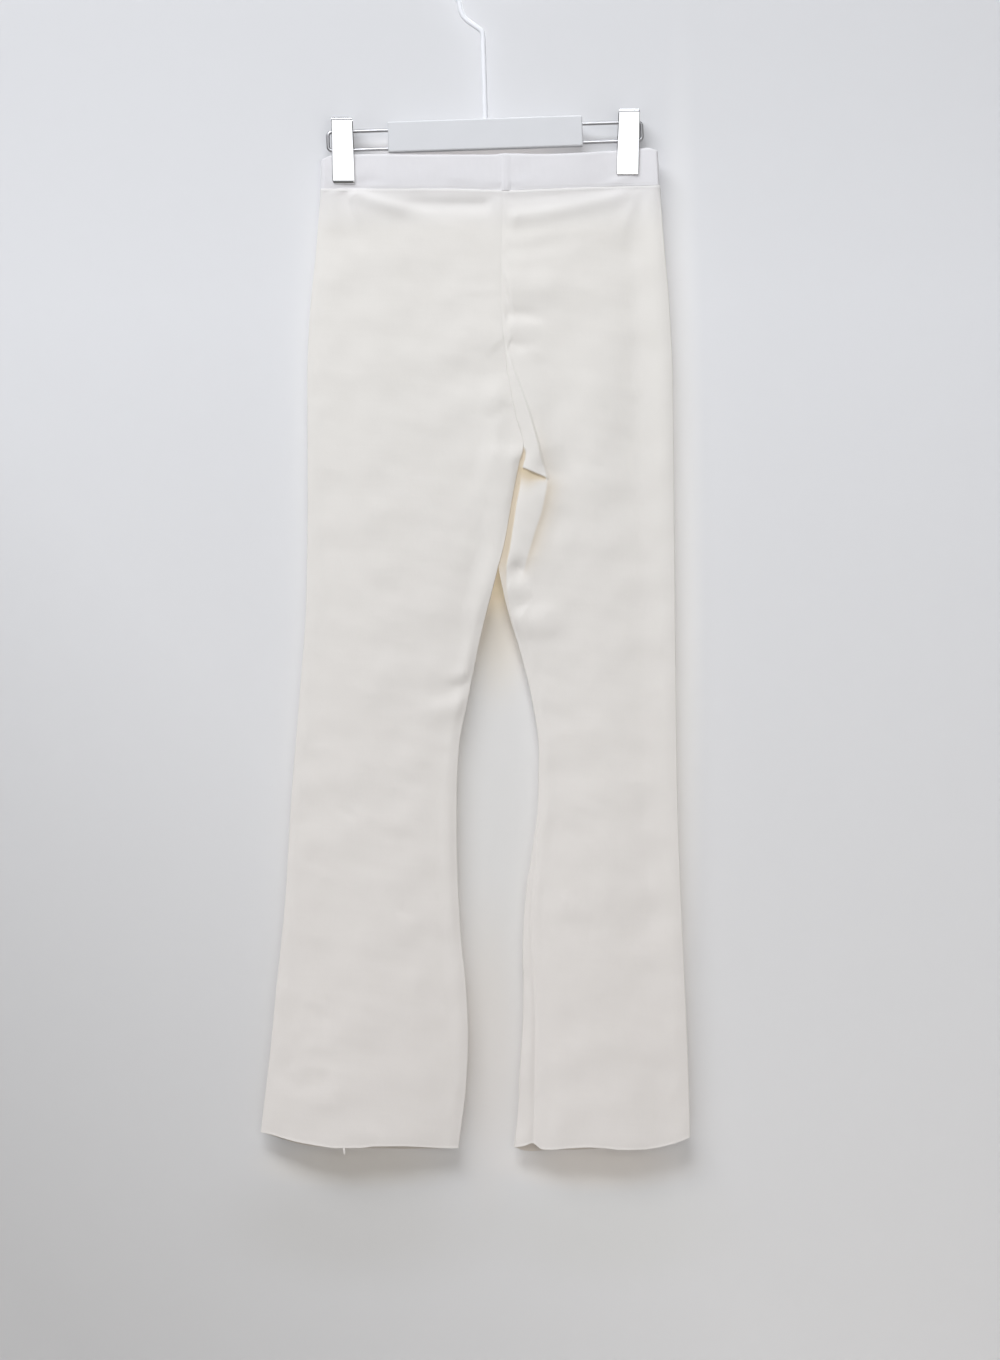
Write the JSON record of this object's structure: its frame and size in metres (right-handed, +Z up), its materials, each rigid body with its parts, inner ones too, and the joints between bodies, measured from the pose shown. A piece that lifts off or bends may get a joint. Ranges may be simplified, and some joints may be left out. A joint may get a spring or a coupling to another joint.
{
  "type": "boot-cut pants on a clip hanger",
  "caption": "Pull-on boot-cut pants in brushed jersey, with a flat elastic waistband and raw flared hems, hung flat by the waistband from a wire-and-bar clip hanger.",
  "frame": {"origin": "hang point: the inside top of the hanger's hook, where it rests on a rail", "axes": "+Z up, the front of the pants faces -Y, +X to the right as seen from the front"},
  "size_m": [0.4293, 0.0267, 1.196],
  "materials": {
    "jersey": "brushed jersey, off-white, matte with a fine nap",
    "band": "the same jersey, smooth over flat elastic",
    "bar": "pale grey, satin",
    "coated_wire": "white coating on steel wire, semi-gloss",
    "plated_steel": "bright plated spring steel and wire"
  },
  "bodies": {
    "root": {"front_left": "jersey", "front_right": "jersey", "back_left": "jersey", "back_right": "jersey", "waistband_left": "band", "waistband_right": "band", "hanger_bar": "bar", "hanger_hook": "coated_wire", "hanger_rail_left": "plated_steel", "hanger_rail_right": "plated_steel", "clip_left": "plated_steel", "clip_right": "plated_steel"}
  },
  "joints": []
}
